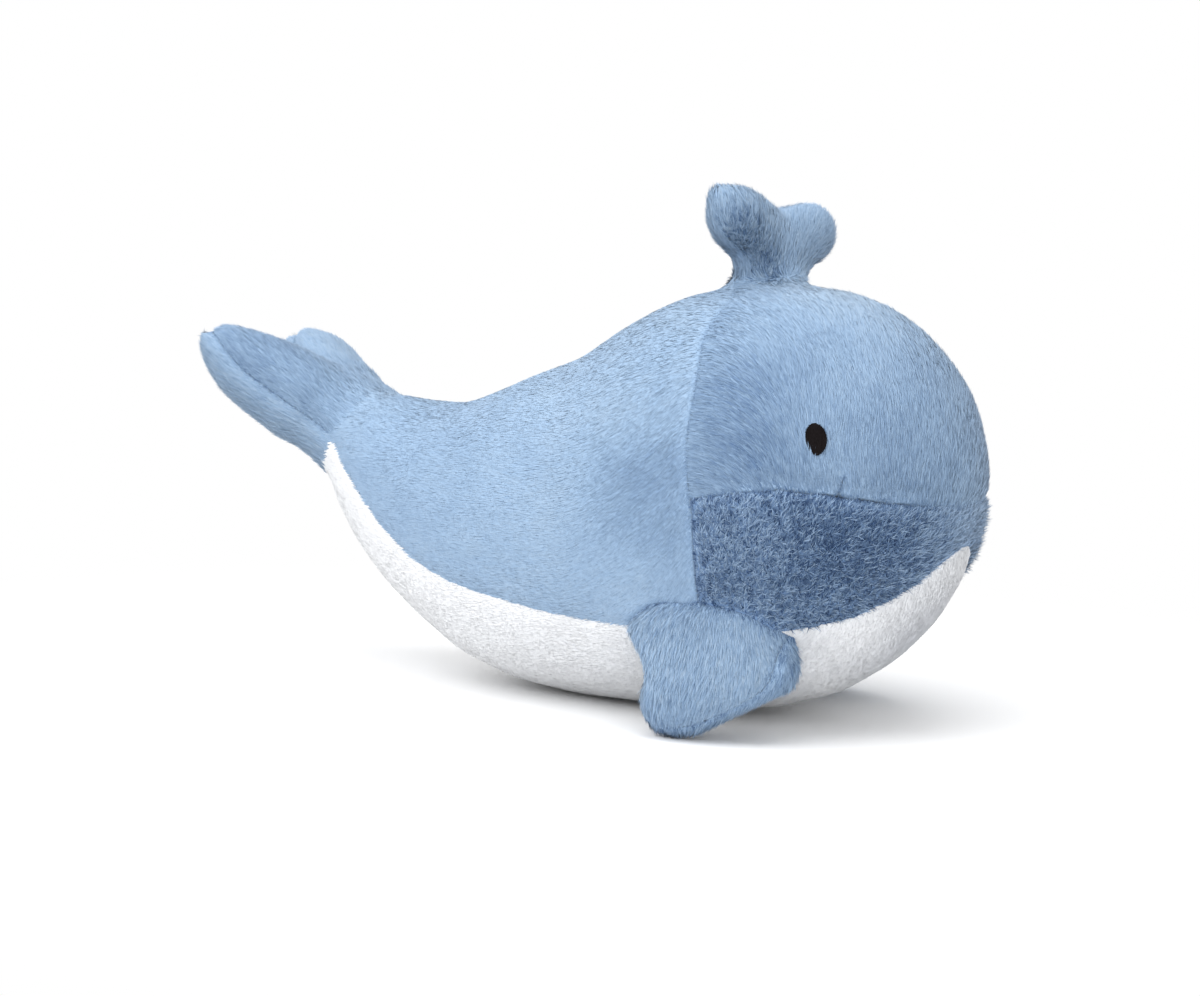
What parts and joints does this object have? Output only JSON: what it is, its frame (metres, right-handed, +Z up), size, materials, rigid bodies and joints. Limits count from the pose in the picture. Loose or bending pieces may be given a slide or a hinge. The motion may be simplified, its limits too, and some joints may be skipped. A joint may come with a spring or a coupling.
{
  "type": "stuffed plush whale",
  "caption": "Round-headed stuffed plush whale with a pale belly, sewn-on side fins, raised tail flukes and a forked spout; rests on its belly and flexes at the sewn roots.",
  "frame": {"origin": "middle of the flat patch of the belly that the whale rests on", "axes": "+X towards the nose, +Y towards the whale's left, +Z up"},
  "size_m": [0.4779, 0.224, 0.2888],
  "materials": {
    "blue_plush": "short laid pile, soft sheen",
    "napped_plush": "the same pile brushed up, seen end-on and darker",
    "white_plush": "white short pile",
    "eye_thread": "satin-stitched dark thread",
    "fibre_fill": "loose polyester fibre"
  },
  "bodies": {
    "body": {"forehead_panel": "blue_plush", "jaw_panel": "napped_plush", "right_side_panel": "blue_plush", "left_side_panel": "blue_plush", "belly_panel": "white_plush", "body_fill": "fibre_fill", "right_eye": "eye_thread", "left_eye": "eye_thread"},
    "right_fin": {"right_fin_upper_panel": "blue_plush", "right_fin_under_panel": "blue_plush", "right_fin_fill": "fibre_fill"},
    "left_fin": {"left_fin_upper_panel": "blue_plush", "left_fin_under_panel": "blue_plush", "left_fin_fill": "fibre_fill"},
    "flukes": {"fluke_upper_panel": "blue_plush", "fluke_lower_panel": "blue_plush", "fluke_fill": "fibre_fill"},
    "spout": {"spout_front_panel": "blue_plush", "spout_back_panel": "blue_plush", "spout_fill": "fibre_fill"}
  },
  "joints": [
    {"name": "right_fin_flap", "type": "hinge", "parent": "body", "child": "right_fin", "pos_m": [0.0745, -0.08999, 0.059], "axis": [-0.9763, -0.2164, 0], "range_deg": [-6, 60], "stiffness_Nm_per_rad": 0.1},
    {"name": "left_fin_flap", "type": "hinge", "parent": "body", "child": "left_fin", "pos_m": [0.0745, 0.08999, 0.059], "axis": [0.9763, -0.2164, 0], "range_deg": [-6, 60], "stiffness_Nm_per_rad": 0.1},
    {"name": "tail_bend", "type": "hinge", "parent": "body", "child": "flukes", "pos_m": [-0.203, 0, 0.139], "axis": [0, 1, 0], "range_deg": [-14, 14], "stiffness_Nm_per_rad": 1.2},
    {"name": "spout_tilt", "type": "hinge", "parent": "body", "child": "spout", "pos_m": [0.0595, 0, 0.23817], "axis": [0.2241, 0.9707, -0.0872], "range_deg": [-20, 20], "stiffness_Nm_per_rad": 0.25}
  ]
}
